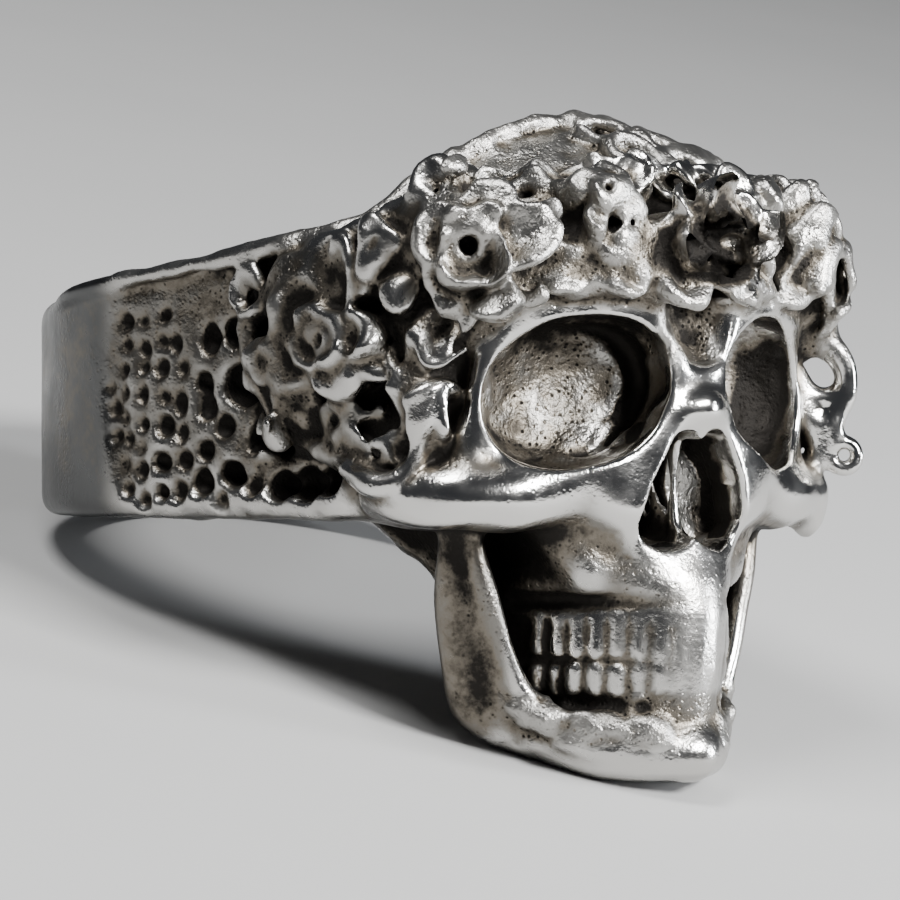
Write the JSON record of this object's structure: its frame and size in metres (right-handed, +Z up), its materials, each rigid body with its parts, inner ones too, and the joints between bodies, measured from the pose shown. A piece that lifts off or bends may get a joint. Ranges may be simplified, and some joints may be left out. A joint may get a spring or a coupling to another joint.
{
  "type": "skull ring",
  "caption": "Heavy cast finger ring with a skull head, a wreath of blossoms round its brow and a pitted band.",
  "frame": {"origin": "centre of the bounding box's bottom face, on the surface that the ring rests on", "axes": "+X across the skull towards its left side, -Y the way the skull looks, +Z up; the bore leans back in the YZ plane"},
  "size_m": [0.023, 0.0374, 0.0222],
  "materials": {
    "silver": "cast silver, polished on the high spots and blackened in the recesses"
  },
  "bodies": {
    "root": {"ring_casting": "silver"}
  },
  "joints": []
}
